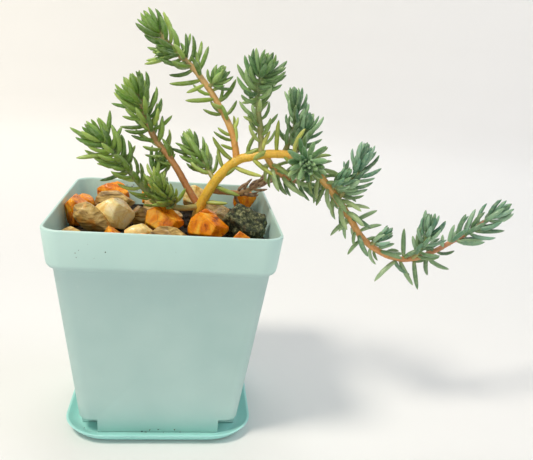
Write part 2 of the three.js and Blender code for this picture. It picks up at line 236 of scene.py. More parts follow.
def crumb_mix():
    paint = Paint("crumb_mix", Roughness=0.9)
    tone = paint.ramp(paint.own("tint"), (0.0, (0.008, 0.005, 0.003)), (0.6, (0.05, 0.028, 0.013)),
                      (1.0, (0.19, 0.11, 0.05)))
    colour = paint.mix(paint.between(paint.noise(0.7), 0.4, 0.6, 0, 0.5), tone, (0.02, 0.012, 0.007))
    return paint.wear(Base_Color=colour, Normal=paint.bump(paint.noise(0.4, 4.0), 0.6, 0.2))


def amber_stone():
    paint = Paint("amber_stone", Coat_Weight=0.15, Coat_Roughness=0.12, IOR=1.38, Subsurface_Weight=0.05,
                  Subsurface_Scale=0.003)
    colour = paint.ramp(paint.noise(7, 5.0, 0.6, 1.2), (0.3, (0.22, 0.04, 0.002)), (0.41, (0.70, 0.17, 0.002)),
                        (0.56, (0.92, 0.32, 0.004)), (0.7, (0.98, 0.56, 0.06)))
    veins = paint.between(paint.cells(7, "DISTANCE_TO_EDGE", paint.place((1, 1.6, 1), (30, 20, 0))), 0.0, 0.03, 0.35, 0)
    colour = paint.mix(veins, colour, (0.18, 0.05, 0.012))
    pits = paint.between(paint.noise(0.9, 4.0, 0.7), 0.63, 0.7, 0, 0.75)
    colour = paint.mix(pits, colour, (0.07, 0.022, 0.008))
    rough = paint.between(paint.noise(2.5, 4.0), 0.35, 0.65, 0.22, 0.5)
    under = paint.bump(paint.noise(0.7, 5.0, 0.6), 0.35, 0.25)
    return paint.wear(Base_Color=colour, Roughness=rough, Normal=paint.bump(paint.noise(3.5, 3.0), 0.4, 0.8, under))


def cream_stone():
    paint = Paint("cream_stone", Coat_Weight=0.25, Coat_Roughness=0.16, Subsurface_Weight=0.15,
                  Subsurface_Scale=0.003)
    colour = paint.ramp(paint.noise(8, 6.0, 0.65, 0.8), (0.3, (0.50, 0.22, 0.02)), (0.41, (0.86, 0.56, 0.15)),
                        (0.54, (0.98, 0.78, 0.34)), (0.72, (1.0, 0.93, 0.66)))
    veins = paint.between(paint.cells(9, "DISTANCE_TO_EDGE", paint.place((1, 1.5, 1), (20, 40, 0))), 0.0, 0.02, 0.3, 0)
    colour = paint.mix(veins, colour, (0.55, 0.27, 0.08))
    rough = paint.between(paint.noise(2.0, 4.0), 0.35, 0.65, 0.25, 0.5)
    under = paint.bump(paint.noise(0.8, 5.0, 0.6), 0.3, 0.25)
    return paint.wear(Base_Color=colour, Roughness=rough, Normal=paint.bump(paint.noise(3.5, 3.0), 0.35, 0.8, under))


def tan_stone():
    paint = Paint("tan_stone", Coat_Weight=0.15, Coat_Roughness=0.3)
    layers = paint.place((1, 1, 4), (20, 12, 0))
    colour = paint.ramp(paint.noise(7, 6.0, 0.6, 0.6, layers), (0.3, (0.08, 0.045, 0.010)),
                        (0.43, (0.34, 0.20, 0.045)), (0.56, (0.64, 0.44, 0.14)), (0.7, (0.88, 0.72, 0.38)))
    stain = paint.between(paint.noise(5, 3.0), 0.55, 0.68, 0, 0.6)
    colour = paint.mix(stain, colour, (0.66, 0.24, 0.01))
    rough = paint.between(paint.noise(2.0, 4.0), 0.35, 0.65, 0.32, 0.65)
    return paint.wear(Base_Color=colour, Roughness=rough, Normal=paint.bump(paint.noise(1.0, 6.0, 0.65), 0.5, 0.4))


def dark_stone():
    paint = Paint("dark_stone", Coat_Weight=0.12, Coat_Roughness=0.35)
    colour = paint.ramp(paint.noise(2.2, 8.0, 0.75), (0.36, (0.006, 0.009, 0.004)), (0.49, (0.04, 0.055, 0.022)),
                        (0.57, (0.20, 0.21, 0.09)), (0.66, (0.62, 0.58, 0.33)))
    rust = paint.between(paint.noise(4.5, 4.0), 0.58, 0.68, 0, 0.4)
    colour = paint.mix(rust, colour, (0.14, 0.08, 0.03))
    rough = paint.between(paint.noise(1.5, 4.0), 0.35, 0.65, 0.35, 0.85)
    return paint.wear(Base_Color=colour, Roughness=rough, Normal=paint.bump(paint.noise(0.9, 8.0, 0.75), 1.0, 0.9))


def leaf_skin():
    """Green skin, bluer where it has more bloom; old leaves turn lime, and tips dry a little."""
    paint = Paint("leaf_skin", Subsurface_Weight=0.08, Subsurface_Scale=0.001, Sheen_Weight=0.12,
                  Sheen_Roughness=0.4)
    paint.shader.inputs["Subsurface Radius"].default_value = (0.5, 1.0, 0.3)
    paint.shader.inputs["Sheen Tint"].default_value = (0.8, 0.9, 0.8, 1)
    young = paint.ramp(paint.own("tint"), (0.0, (0.055, 0.14, 0.012)), (0.5, (0.17, 0.33, 0.03)),
                       (1.0, (0.40, 0.56, 0.08)))
    blue = paint.ramp(paint.own("tint"), (0.0, (0.035, 0.115, 0.075)), (0.5, (0.11, 0.26, 0.165)),
                      (1.0, (0.28, 0.47, 0.34)))
    old = paint.ramp(paint.own("tint"), (0.0, (0.26, 0.34, 0.02)), (1.0, (0.66, 0.66, 0.12)))
    colour = paint.mix(paint.own("bloom"), young, blue)
    colour = paint.mix(paint.own("age"), colour, old)
    patches = paint.between(paint.noise(1.6, 4.0, 0.65), 0.42, 0.68, 0, 0.35)
    colour = paint.mix(patches, colour, (0.42, 0.53, 0.28))
    foot = paint.between(paint.own("along"), 0.0, 0.22, 0.5, 0)
    colour = paint.mix(foot, colour, (0.42, 0.46, 0.12))
    tip = paint.between(paint.own("along"), 0.93, 1.0, 0, 0.5)
    colour = paint.mix(tip, colour, (0.36, 0.24, 0.10))
    rough = paint.between(paint.noise(1.0), 0.3, 0.7, 0.24, 0.44)
    return paint.wear(Base_Color=colour, Roughness=rough, Normal=paint.bump(paint.noise(0.5, 3.0), 0.15, 0.12))


def dry_leaf_skin():
    paint = Paint("dry_leaf_skin", Roughness=0.75)
    colour = paint.ramp(paint.noise(1.5, 4.0), (0.3, (0.10, 0.05, 0.025)), (0.5, (0.28, 0.16, 0.08)),
                        (0.7, (0.45, 0.31, 0.18)))
    return paint.wear(Base_Color=colour, Normal=paint.bump(paint.noise(0.5, 4.0), 0.5, 0.2))


def stem_bark(name, foot, middle, tip):
    """Bark that turns from one colour at a stem's foot to another at its tip, with scars and streaks."""
    paint = Paint(name, Coat_Weight=0.12, Coat_Roughness=0.35, Subsurface_Weight=0.1, Subsurface_Scale=0.001)
    colour = paint.ramp(paint.own("along"), (0.0, foot), (0.5, middle), (1.0, tip))
    blotch = paint.between(paint.noise(2.6, 4.0, 0.6), 0.5, 0.7, 0, 0.4)
    colour = paint.mix(blotch, colour, tuple(0.45 * shade for shade in foot))
    scars = paint.between(paint.cells(1.7), 0.0, 0.28, 0.5, 0)
    colour = paint.mix(scars, colour, (0.23, 0.10, 0.03))
    light = paint.between(paint.noise(3.5, 3.0), 0.56, 0.72, 0, 0.35)
    colour = paint.mix(light, colour, (0.62, 0.52, 0.20))
    rough = paint.between(paint.noise(1.2), 0.3, 0.7, 0.38, 0.62)
    return paint.wear(Base_Color=colour, Roughness=rough, Normal=paint.bump(paint.noise(0.9, 4.0), 0.35, 0.3))


# ---- pot, saucer and mix -------------------------------------------------------------------------
def draw_up(side, corner, z, levels):
    """A rounded square drawn up, out and in through levels of (side, height), all in mm."""
    bpy.ops.mesh.primitive_plane_add(size=side * MM, location=(0, 0, z * MM))
    piece = bpy.context.object
    edit(piece)
    bpy.ops.mesh.select_all(action="SELECT")
    bpy.ops.mesh.bevel(offset=corner * MM, segments=10, affect="VERTICES")
    for next_side, next_z in levels:
        bpy.ops.mesh.extrude_region_move(TRANSFORM_OT_translate={"value": (0, 0, (next_z - z) * MM)})
        share = next_side / side
        bpy.ops.transform.resize(value=(share, share, 1), center_override=(0, 0, 0))
        side, z = next_side, next_z
    done()
    settle(piece)
    clean(piece)
    return piece


def make_pot():
    pot = draw_up(71.6, 5.9, 1.8, [
        (92.0, 84.5), (92.4, 84.9), (93.8, 85.0), (95.3, 85.5), (96.4, 86.5), (97.0, 88.0), (99.9, 102.0),
        (99.8, 102.5), (99.2, 102.8), (98.1, 102.8), (97.6, 102.5), (97.3, 101.9), (94.2, 88.4),
        (93.4, 87.3), (91.2, 86.6), (89.4, 86.0), (71.4, 10.4),
    ])
    for across, along in ((52.6, 68.8), (68.8, 52.6)):
        bpy.ops.mesh.primitive_cube_add(size=1, scale=(across * MM, along * MM, 14.4 * MM), location=(0, 0, 1.8 * MM))
        cut(pot, bpy.context.object)
    for sx in (-1, 1):
        for sy in (-1, 1):
            bpy.ops.mesh.primitive_cube_add(size=14 * MM, location=(sx * 34.7 * MM, sy * 34.7 * MM, 1.8 * MM))
            cut(pot, bpy.context.object)
            bpy.ops.mesh.primitive_cylinder_add(
                vertices=32, radius=3.5 * MM, depth=12 * MM, location=(sx * 18 * MM, sy * 18 * MM, 10 * MM)
            )
            cut(pot, bpy.context.object)
    modify(pot, "BEVEL", width=0.3 * MM, segments=2, limit_method="ANGLE", angle_limit=math.radians(50))
    clean(pot)
    smooth(pot, 30)
    return finish(pot, "pot_shell", pot_plastic, "mint_plastic", "pot")


def make_saucer():
    saucer = draw_up(78, 17, 0, [
        (79.4, 0.3), (82.0, 1.3), (84.2, 2.6), (85.8, 4.0), (86.7, 4.5), (87.0, 4.7), (86.7, 4.8),
        (85.4, 4.8), (84.8, 4.6), (83.9, 4.1), (81.6, 3.1), (79.2, 2.3), (77.0, 1.75), (75.4, 1.55), (74, 1.5),
    ])
    smooth(saucer, 40)
    return finish(saucer, "saucer_dish", saucer_plastic, "mint_plastic", "saucer")


def make_mix():
    mix = draw_up(71, 7, 10.8, [(88.6, 85.6), (91, 87.5), (93.2, 88.9), (93.4, SOIL_TOP - 0.6)])
    modify(mix, "REMESH", mode="VOXEL", voxel_size=1.5 * MM)
    rough_up(mix, "CLOUDS", 4, 1.0)
    modify(mix, "DISPLACE", strength=-0.4 * MM, mid_level=0.0)
    smooth(mix, 60)
    return finish(mix, "potting_mix_bed", soil_mix(), "potting_mix", "potting_mix")


def make_crumbs(rng):
    """Loose bark and grit on the mix, and a few specks left on the pot and saucer."""
    shapes = []
    for stretch in ((1, 1, 0.7), (1.8, 0.8, 0.5), (1.2, 0.9, 1)):
        bpy.ops.mesh.primitive_ico_sphere_add(subdivisions=1, radius=1 * MM)
        shape = bpy.context.object
        edit(shape)
        bpy.ops.mesh.select_all(action="SELECT")
        bpy.ops.transform.resize(value=stretch)
        bpy.ops.transform.vertex_random(offset=0.25 * MM, seed=len(shapes) + 3)
        done()
        shapes.append(shape)
    crumbs = []

    def drop(place, size, squash=1.0):
        crumb = shapes[rng.randrange(3)].copy()
        crumb.data = crumb.data.copy()
        bpy.context.collection.objects.link(crumb)
        turn = Matrix.Rotation(rng.uniform(0, 6.28), 4, "Z") @ Matrix.Rotation(rng.uniform(0, 6.28), 4, "X")
        crumb.matrix_world = Matrix.Translation(Vector(place) * MM) @ Matrix.Diagonal((1, squash, 1, 1)) @ turn
        crumb.matrix_world = crumb.matrix_world @ Matrix.Scale(size, 4)
        tint = crumb.data.attributes.new("tint", "FLOAT", "POINT")
        tint.data.foreach_set("value", [rng.random()] * len(crumb.data.vertices))
        crumbs.append(crumb)

    for _ in range(420):
        x = rng.uniform(-44, 44)
        y = rng.uniform(-44, 44)
        drop((x, y, SOIL_TOP - 0.4 + rng.uniform(-0.2, 0.5)), rng.uniform(0.5, 1.3))
    for x, z, size in ((-35, 93.5, 0.28), (-33.6, 94.8, 0.18), (-34.6, 91.6, 0.2), (-27.6, 91.5, 0.16),
                       (-23.1, 94.4, 0.3), (-30, 97.5, 0.1), (21, 90.2, 0.12), (5, 95.5, 0.1)):
        front = 48.5 + (z - 88) * 0.103
        drop((x, -front, z), size, 0.5)
    for x, y, size in ((-16, -40.2, 0.22), (8, -40.4, 0.18), (-2, -39.8, 0.25), (-34, -34, 0.2), (31, -39.4, 0.16)):
        drop((x, y, 2.6), size)
    for _ in range(9):
        x = rng.uniform(-8, 12)
        drop((x, -36.3, rng.uniform(1.9, 3.4)), rng.uniform(0.15, 0.45), 0.5)
    for x, z in ((-20.5, 100), (-20.1, 98.6), (-19.2, 97.8), (-21.3, 99.2), (-18.6, 97), (-24, 99.8)):
        drop((x, 48.2, z), 0.32, 0.5)
    for shape in shapes:
        bpy.data.objects.remove(shape)
    pick(*crumbs)
    bpy.ops.object.join()
    return finish(crumbs[0], "mix_crumbs", crumb_mix(), "potting_mix")


# ---- stones --------------------------------------------------------------------------------------
# Each stone: centre and half sizes in mm, turn and tilt in degrees, finish, and how many flats it has.
STONES = {
    "slab_left": ((-34.5, -12, 97.5), (5, 5.5, 12.5), -90, 47, "tan", 7),
    "amber_left": ((-43, 2, 97), (6.4, 9, 9), 8, 5, "amber", 8),
    "cream_quartz": ((-24, -4, 97.2), (10.6, 7, 10.2), 10, 12, "cream", 8),
    "amber_centre": ((-2.5, -9, 97), (11, 6, 7.4), -8, 8, "amber", 9),
    "amber_by_stem": ((17.5, -5, 97), (6.4, 5, 7), 25, 10, "amber", 8),
    "amber_front": ((18.5, -17, 97), (10, 6.5, 8.6), -15, 0, "amber", 9),
    "dark_rock": ((35.5, -11, 98), (13, 10, 9.4), 10, -8, "dark", 10),
    "amber_chip": ((33, -29, 95), (4.2, 5, 5.5), 30, 0, "amber", 7),
    "flat_front": ((-12, -23, 94.6), (7.5, 5, 4.8), 5, 0, "cream", 8),
    "pale_front": ((0.5, -27, 94.8), (13, 5.5, 4.8), -5, 0, "tan", 8),
    "pale_small": ((11, -38, 94), (8, 6, 5), 20, 0, "cream", 8),
    "amber_small": ((-23, -27, 94), (4.5, 6, 5), 30, 0, "amber", 7),
    "cream_corner": ((-40, -32, 94), (7, 6.5, 5.5), 15, 0, "tan", 8),
    "brown_centre": ((-13, 5, 95.3), (5.5, 5, 5.5), 40, 0, "tan", 8),
    "brown_front": ((-10, -37, 94), (10, 6.5, 5), -6, 0, "amber", 8),
    "amber_behind": ((2, 5, 95), (5, 4.5, 5), 10, 0, "tan", 7),
    "tan_corner": ((35, -40, 94), (7.5, 5, 5.5), 12, 0, "tan", 7),
    "amber_back": ((-30, 40, 97), (10.5, 6, 7.5), -4, 6, "amber", 9),
    "tan_back": ((-29, 26, 95.6), (12.5, 6.5, 6), 6, -6, "tan", 9),
    "brown_back": ((-42, 20, 95), (5, 7, 6), 10, 0, "amber", 7),
    "amber_leaning": ((-10, 38, 100), (7, 6, 9.5), 40, 10, "amber", 9),
    "amber_right": ((40, 38, 96.5), (6.5, 6.5, 7.5), 20, 10, "amber", 8),
    "pale_back": ((13, 38, 96.5), (8, 6, 7.5), 0, -8, "cream", 9),
    "tan_right": ((38, 13, 93.5), (7.5, 10, 6), -6, 0, "tan", 9),
    "cream_right": ((24, 25, 93.5), (8, 8, 6), 15, 0, "tan", 9),
    "tan_middle": ((-7, 20, 95), (9, 8, 6.5), -30, 0, "tan", 9),
    "brown_right": ((26, 7, 94.5), (6, 6.5, 5.5), 0, 0, "tan", 8),
}


def make_stone(name, centre, half, turn, tilt, kind, flats, rng):
    """A ball pulled to size and split along flats, as a crushed stone breaks, then roughened."""
    bpy.ops.mesh.primitive_ico_sphere_add(subdivisions=4, radius=MM)
    stone = bpy.context.object
    edit(stone)
    bpy.ops.mesh.select_all(action="SELECT")
    bpy.ops.transform.resize(value=half)
    done()
    edit(stone)
    for i in range(flats):
        z = 1 - (2 * i + 1) / flats
        angle = i * GOLDEN_ANGLE + rng.uniform(-0.5, 0.5)
        flat = math.sqrt(max(0.05, 1 - z * z))
        away = Vector((flat * math.cos(angle), flat * math.sin(angle), z + rng.uniform(-0.25, 0.25))).normalized()
        reach = math.sqrt(sum((away[k] * half[k]) ** 2 for k in range(3))) * rng.uniform(0.58, 0.84) * MM
        bpy.ops.mesh.select_all(action="SELECT")
        bpy.ops.mesh.bisect(plane_co=away * reach, plane_no=away, use_fill=True, clear_outer=True)
    done()
    stone.rotation_euler = (math.radians(tilt), 0, math.radians(turn))
    stone.location = Vector(centre) * MM
    settle(stone)
    modify(stone, "REMESH", mode="VOXEL", voxel_size=0.4 * MM)
    modify(stone, "SMOOTH", factor=0.5, iterations=1)
    if kind == "dark":
        rough_up(stone, "CLOUDS", 3.2, 2.4, noise_depth=4)
        rough_up(stone, "CLOUDS", 0.9, 0.7, noise_depth=2)
    else:
        rough_up(stone, "CLOUDS", 3, 0.45, noise_depth=3)
        rough_up(stone, "CLOUDS", 1.2, 0.14, noise_depth=1)
    smooth(stone, 60)
    return finish(stone, "stone_" + name + "_rock", stone_finish[kind], kind + "_stone", "stone_" + name)


# ---- stems and leaves ----------------------------------------------------------------------------
def make_stem(points, radius):
    """A stem drawn as a curve through its points, thinning from foot to tip, and its path as a list of points."""
    bpy.ops.curve.primitive_bezier_curve_add(location=(0, 0, 0))
    stem = bpy.context.object
    spline = stem.data.splines[0]
    spline.bezier_points.add(len(points) - 2)
    for i, (knot, place) in enumerate(zip(spline.bezier_points, points)):
        share = i / (len(points) - 1)
        knot.co = Vector(place) * MM
        knot.handle_left_type = knot.handle_right_type = "AUTO"
        knot.radius = radius[0] + (radius[1] - radius[0]) * share
    bpy.context.view_layer.update()
    path = []
    knots = spline.bezier_points
    for first, second in zip(knots, knots[1:]):
        path += interpolate_bezier(first.co, first.handle_right, second.handle_left, second.co, 13)[:-1]
    path.append(knots[-1].co.copy())
    stem.data.dimensions = "3D"
    stem.data.resolution_u = 8
    stem.data.bevel_depth = MM
    stem.data.bevel_resolution = 4
    stem.data.use_fill_caps = True
    pick(stem)
    bpy.ops.object.convert(target="MESH")
    stem = bpy.context.object
    clean(stem)
    rough_up(stem, "CLOUDS", 2.2, 0.35, noise_depth=2)
    smooth(stem, 60)
    along = stem.data.attributes.new("along", "FLOAT", "POINT")
    walk = Walk(path)
    along.data.foreach_set("value", [walk.nearest(vertex.co) for vertex in stem.data.vertices])
    return stem, walk


class Walk:
    """A stem's centre line, measured by the share of its length."""

    def __init__(self, path):
        self.path = path
        self.lengths = [0.0]
        for a, b in zip(path, path[1:]):
            self.lengths.append(self.lengths[-1] + (b - a).length)
        self.total = self.lengths[-1]

    def at(self, share):
        """The point at a share of the length, and the direction there."""
        goal = min(max(share, 0.0), 1.0) * self.total
        i = 1
        while i < len(self.path) - 1 and self.lengths[i] < goal:
            i += 1
        a, b = self.path[i - 1], self.path[i]
        part = (goal - self.lengths[i - 1]) / max(self.lengths[i] - self.lengths[i - 1], 1e-9)
        before = self.path[max(i - 4, 0)]
        after = self.path[min(i + 3, len(self.path) - 1)]
        return a.lerp(b, part), (after - before).normalized()

    def nearest(self, place):
        best = min(range(len(self.path)), key=lambda i: (self.path[i] - place).length_squared)
        return self.lengths[best] / self.total


LEAF_RINGS = ((0.0, 0.55), (0.08, 0.8), (0.28, 1.0), (0.56, 1.0), (0.77, 0.84), (0.9, 0.55), (0.965, 0.25))


def leaf_shape(curl):
    """A plump needle leaf, 12 mm long and 2.5 mm wide, that curls towards +Y by that angle."""
    bpy.ops.mesh.primitive_circle_add(vertices=8, radius=1.25 * MM, fill_type="NGON")
    leaf = bpy.context.object
    edit(leaf)
    bpy.ops.mesh.select_all(action="SELECT")
    bpy.ops.transform.resize(value=(0.55, 0.42, 1), center_override=(0, 0, 0))
    centre = Vector((0, 0, 0))
    heading = 0.0
    for (share, width), (next_share, next_width) in zip(LEAF_RINGS, LEAF_RINGS[1:]):
        step = (next_share - share) * 12 * MM
        turn = curl * (next_share - share)
        heading += turn
        move = Vector((0, math.sin(heading), math.cos(heading))) * step
        centre += move
        bpy.ops.mesh.extrude_region_move(TRANSFORM_OT_translate={"value": move})
        bpy.ops.transform.rotate(value=turn, orient_axis="X", center_override=centre)
        bpy.ops.transform.resize(value=(next_width / width,) * 3, center_override=centre)
    bpy.ops.mesh.extrude_region_move(
        TRANSFORM_OT_translate={"value": Vector((0, math.sin(heading), math.cos(heading))) * 0.42 * MM}
    )
    bpy.ops.mesh.merge(type="COLLAPSE")
    done()
    clean(leaf)
    pick(leaf)
    bpy.ops.object.shade_smooth()
    along = leaf.data.attributes.new("along", "FLOAT", "POINT")
    along.data.foreach_set("value", [min(1.0, vertex.co.length / (12 * MM)) for vertex in leaf.data.vertices])
    return leaf


def leaf_copy(foot, direction, inward, length, width, curl, tint, age, bloom):
    """A leaf from its foot in a direction, its upper face turned inward. Sizes in mm."""
    shape = min(leaf_shapes, key=lambda known: abs(known - curl))
    leaf = leaf_shapes[shape].copy()
    leaf.data = leaf.data.copy()
    bpy.context.collection.objects.link(leaf)
    across = inward.cross(direction).normalized()
    up = direction.cross(across).normalized()
    turn = Matrix((across, up, direction)).transposed().to_4x4()
    size = Matrix.Diagonal((width / 2.5, width / 2.5, length / 12, 1))
    leaf.matrix_world = Matrix.Translation(foot) @ turn @ size
    for name, value in (("tint", tint), ("age", age), ("bloom", bloom)):
        layer = leaf.data.attributes.new(name, "FLOAT", "POINT")
        layer.data.foreach_set("value", [value] * len(leaf.data.vertices))
    return leaf


def grow(walk, radius, run, first, bloom, rng):
    """The leaves of one run along a stem, one golden angle after another."""
    start, end, count, lengths, opens, ages = run
    leaves = []
    for i in range(count):
        share = (i + 0.5) / count
        t = start + (end - start) * share
        foot, heading = walk.at(t)
        side = heading.cross(Vector((0.0, -1.0, 0.2))).normalized()
        up = side.cross(heading)
        turn = (first + i) * GOLDEN_ANGLE + rng.uniform(-0.3, 0.3)
        out = side * math.cos(turn) + up * math.sin(turn)
        opened = opens[0] + (opens[1] - opens[0]) * share + rng.uniform(-0.16, 0.16)
        direction = heading * math.cos(opened) + out * math.sin(opened)
        inward = heading * math.sin(opened) - out * math.cos(opened)
        length = (lengths[0] + (lengths[1] - lengths[0]) * share) * rng.uniform(0.84, 1.1)
        thickness = (radius[0] + (radius[1] - radius[0]) * t) * MM
        curl = rng.uniform(0.7, 1.35) if opened > 0.8 else rng.uniform(0.2, 0.6)
        width = min(2.6, 1.3 + length * 0.1) * rng.uniform(0.9, 1.1)
        age = ages[0] + (ages[1] - ages[0]) * share + rng.uniform(-0.12, 0.12)
        leaves.append(leaf_copy(foot + out * thickness * 0.6, direction, inward, length, width, curl,
                                rng.random(), min(max(age, 0.0), 1.0), bloom))
    return leaves


def place_leaf(walk, foot, tip, age, bloom, rng):
    """One leaf from a point by a stem to its tip, in mm. Its foot is drawn in to the stem."""
    foot, tip = Vector(foot) * MM, Vector(tip) * MM
    middle, heading = walk.at(walk.nearest(foot))
    foot = middle + (foot - middle).normalized() * min((foot - middle).length, 1.2 * MM)
    direction = (tip - foot).normalized()
    length = min((tip - foot).length / MM, 15)
    inward = heading - direction * heading.dot(direction)
    if inward.length < 0.2:
        inward = Vector((0, -1, 0)) + direction * direction.y
    width = min(2.9, 1.5 + length * 0.11)
    return leaf_copy(foot, direction, inward.normalized(), length, width, rng.uniform(0.2, 0.8),
                     rng.random(), age, bloom)


# Each shoot: its route in mm, its radius at foot and tip, its bark, and its runs of leaves. A run is its
# start and end along the stem, its number of leaves, and their lengths, opening angles and ages.
SHOOTS = {
    "main_stem": (
        ((12, 3, 77), (14, 1, 98), (18.5, 0, 110), (25, -1, 120), (31, -2, 126), (39, -4, 129), (48, -6, 131),
         (57, -8, 131)),
        (2.6, 1.9), "ochre", ()),
    "trailing_shoot": (
        ((55, -8, 131), (64, -11, 127), (72, -13, 120), (79, -15, 112), (85, -16, 104), (92, -17, 95),
         (99, -17, 90), (108, -16, 86), (117, -15, 85), (128, -13, 88), (138, -11, 93), (150, -9, 100),
         (162, -8, 109)),
        (2.0, 1.0), "rosy",
        ((0.03, 0.32, 30, (12, 11.5), (1.5, 1.3), (0.5, 0.25)), (0.33, 0.74, 12, (10, 11), (1.3, 1.2), (0.25, 0.1)),
         (0.78, 0.95, 15, (13, 12.5), (1.35, 1.1), (0.1, 0)), (0.95, 1.0, 12, (12, 7), (1.1, 0.15), (0, 0)))),
    "upper_shoot": (
        ((31, -2, 126), (30, 0, 132), (28, 2, 139), (23, 5, 148), (16, 8, 158), (10, 10, 165), (3, 11, 171),
         (-4, 12, 177), (-10, 13, 184)),
        (1.7, 1.2), "tawny",
        ((0.1, 0.62, 8, (9, 10), (1.3, 1.2), (0.4, 0.15)), (0.64, 0.93, 24, (13.5, 14), (1.65, 1.3), (0.1, 0)),
         (0.92, 1.0, 18, (13, 7), (1.3, 0.2), (0, 0)))),
    "upper_side_shoot_left": (
        ((3, 11, 172), (-2, 9, 172), (-6, 8, 172)), (0.9, 0.7), "green",
        ((0.3, 1.0, 26, (8, 4), (1.35, 0.12), (0, 0)),)),
    "upper_side_shoot_right": (
        ((16, 8, 158), (19, 6, 161), (21, 4, 165)), (1.0, 0.8), "green",
        ((0.3, 1.0, 36, (9, 4), (1.4, 0.12), (0, 0)),)),
    "crown_shoot": (
        ((42, -5, 130), (41, -4, 141), (39, -5, 151), (38, -7, 160), (40, -11, 169)), (1.5, 1.1), "green",
        ((0.1, 0.6, 14, (10, 11), (1.4, 1.3), (0.3, 0.1)), (0.62, 0.93, 18, (13, 13.5), (1.7, 1.35), (0, 0)),
         (0.92, 1.0, 17, (13, 6.5), (1.3, 0.2), (0, 0)))),
    "back_shoot": (
        ((52, -6, 131), (57, 3, 139), (59, 8, 147), (58, 10, 155)), (1.2, 0.9), "green",
        ((0.12, 0.85, 22, (10, 11.5), (1.45, 1.2), (0.2, 0)), (0.84, 1.0, 15, (10.5, 5.5), (1.1, 0.15), (0, 0)))),
    "middle_shoot": (
        ((56, -8, 131), (61, -3, 137), (63, -1, 144)), (1.1, 0.8), "green",
        ((0.12, 0.85, 18, (10, 11), (1.45, 1.2), (0.2, 0)), (0.84, 1.0, 13, (10.5, 5.5), (1.1, 0.15), (0, 0)))),
    "facing_shoot": (
        ((60, -10, 129), (61, -18, 130), (60, -25, 131)), (1.3, 0.9), "green",
        ((0.25, 0.9, 22, (12.5, 11.5), (1.55, 1.3), (0.15, 0)), (0.88, 1.0, 16, (9.5, 4.5), (1.1, 0.12), (0, 0)))),
    "right_shoot": (
        ((78, -15, 113), (83, -15, 120), (87, -14, 127), (89, -13, 133)), (1.3, 0.9), "green",
        ((0.1, 0.8, 23, (11, 12.5), (1.45, 1.2), (0.25, 0)), (0.78, 1.0, 19, (12, 6), (1.15, 0.15), (0, 0)))),
    "right_side_shoot": (
        ((75, -14, 117), (77, -19, 122), (79, -22, 126)), (0.9, 0.7), "green",
        ((0.25, 1.0, 20, (10, 5), (1.45, 0.15), (0.1, 0)),)),
    "trailing_bud": (
        ((95, -17, 92), (98, -20, 95), (101, -22, 99)), (0.9, 0.7), "green",
        ((0.3, 1.0, 16, (9, 5), (1.2, 0.2), (0.1, 0)),)),
    "trailing_side_shoot": (
        ((118, -15, 85), (122, -17, 92), (123, -18, 98), (123, -19, 103)), (1.1, 0.8), "green",
        ((0.15, 0.85, 17, (11, 12), (1.4, 1.1), (0.15, 0)), (0.82, 1.0, 13, (11, 6), (1.0, 0.15), (0, 0)))),
    "left_tall_shoot": (
        ((13, 2, 104), (9, 3, 110), (4, 5, 118), (-2, 7, 126), (-8, 8, 133), (-12, 8, 142), (-14, 8, 148),
         (-17, 7, 155)),
        (1.8, 1.3), "russet",
        ((0.34, 0.7, 12, (10.5, 12), (1.4, 1.3), (0.3, 0.1)), (0.66, 0.92, 22, (13.5, 14), (1.65, 1.3), (0.1, 0)),
         (0.91, 1.0, 19, (13.5, 7), (1.3, 0.2), (0, 0)))),
    "left_low_shoot": (
        ((13, 0, 102), (5, -3, 102), (-4, -5, 105), (-11, -6, 111), (-17, -7, 118), (-22, -8, 124),
         (-27, -9, 130), (-32, -10, 135)),
        (1.5, 1.1), "green",
        ((0.26, 0.66, 18, (8, 12), (1.4, 1.3), (0.35, 0.15)), (0.66, 0.93, 24, (13, 13.5), (1.55, 1.25), (0.05, 0)),
         (0.92, 1.0, 18, (13, 7), (1.25, 0.2), (0, 0)))),
    "left_short_shoot": (
        ((-4, -5, 105), (-6, 3, 110), (-6, 8, 117), (-5, 10, 122)), (1.0, 0.8), "green",
        ((0.15, 0.85, 18, (10.5, 11), (1.45, 1.2), (0.25, 0)), (0.82, 1.0, 14, (10.5, 5.5), (1.1, 0.15), (0, 0)))),
    "ground_shoot": (
        ((3, -4, 104), (-1, -9, 109), (-4, -12, 115)), (1.0, 0.8), "green",
        ((0.05, 0.9, 34, (9, 9), (1.45, 0.9), (0.35, 0.2)), (0.85, 1.0, 18, (7.5, 3.5), (0.8, 0.12), (0.2, 0.1)))),
    "inner_shoot": (
        ((21, -1, 116), (17, 4, 121), (13, 7, 126), (9, 9, 131)), (1.2, 0.8), "green",
        ((0.15, 0.8, 18, (11, 12), (1.4, 1.2), (0.2, 0)), (0.78, 1.0, 17, (12, 6), (1.1, 0.15), (0, 0)))),
    "withered_shoot": (
        ((18, 0, 111), (26, 5, 109), (35, 10, 108), (42, 14, 110), (48, 17, 114)), (1.6, 0.9), "russet",
        ((0.45, 0.96, 14, (7, 9), (1.6, 0.7), (1, 1)),)),
    "under_shoot": (
        ((44, -5, 130), (50, -1, 122), (57, 1, 118), (64, 2, 116), (69, 1, 114)), (1.5, 0.9), "rosy",
        ((0.15, 0.9, 26, (11, 12), (1.45, 1.2), (0.4, 0.2)), (0.88, 1.0, 10, (10, 6), (1.0, 0.15), (0.1, 0)))),
}


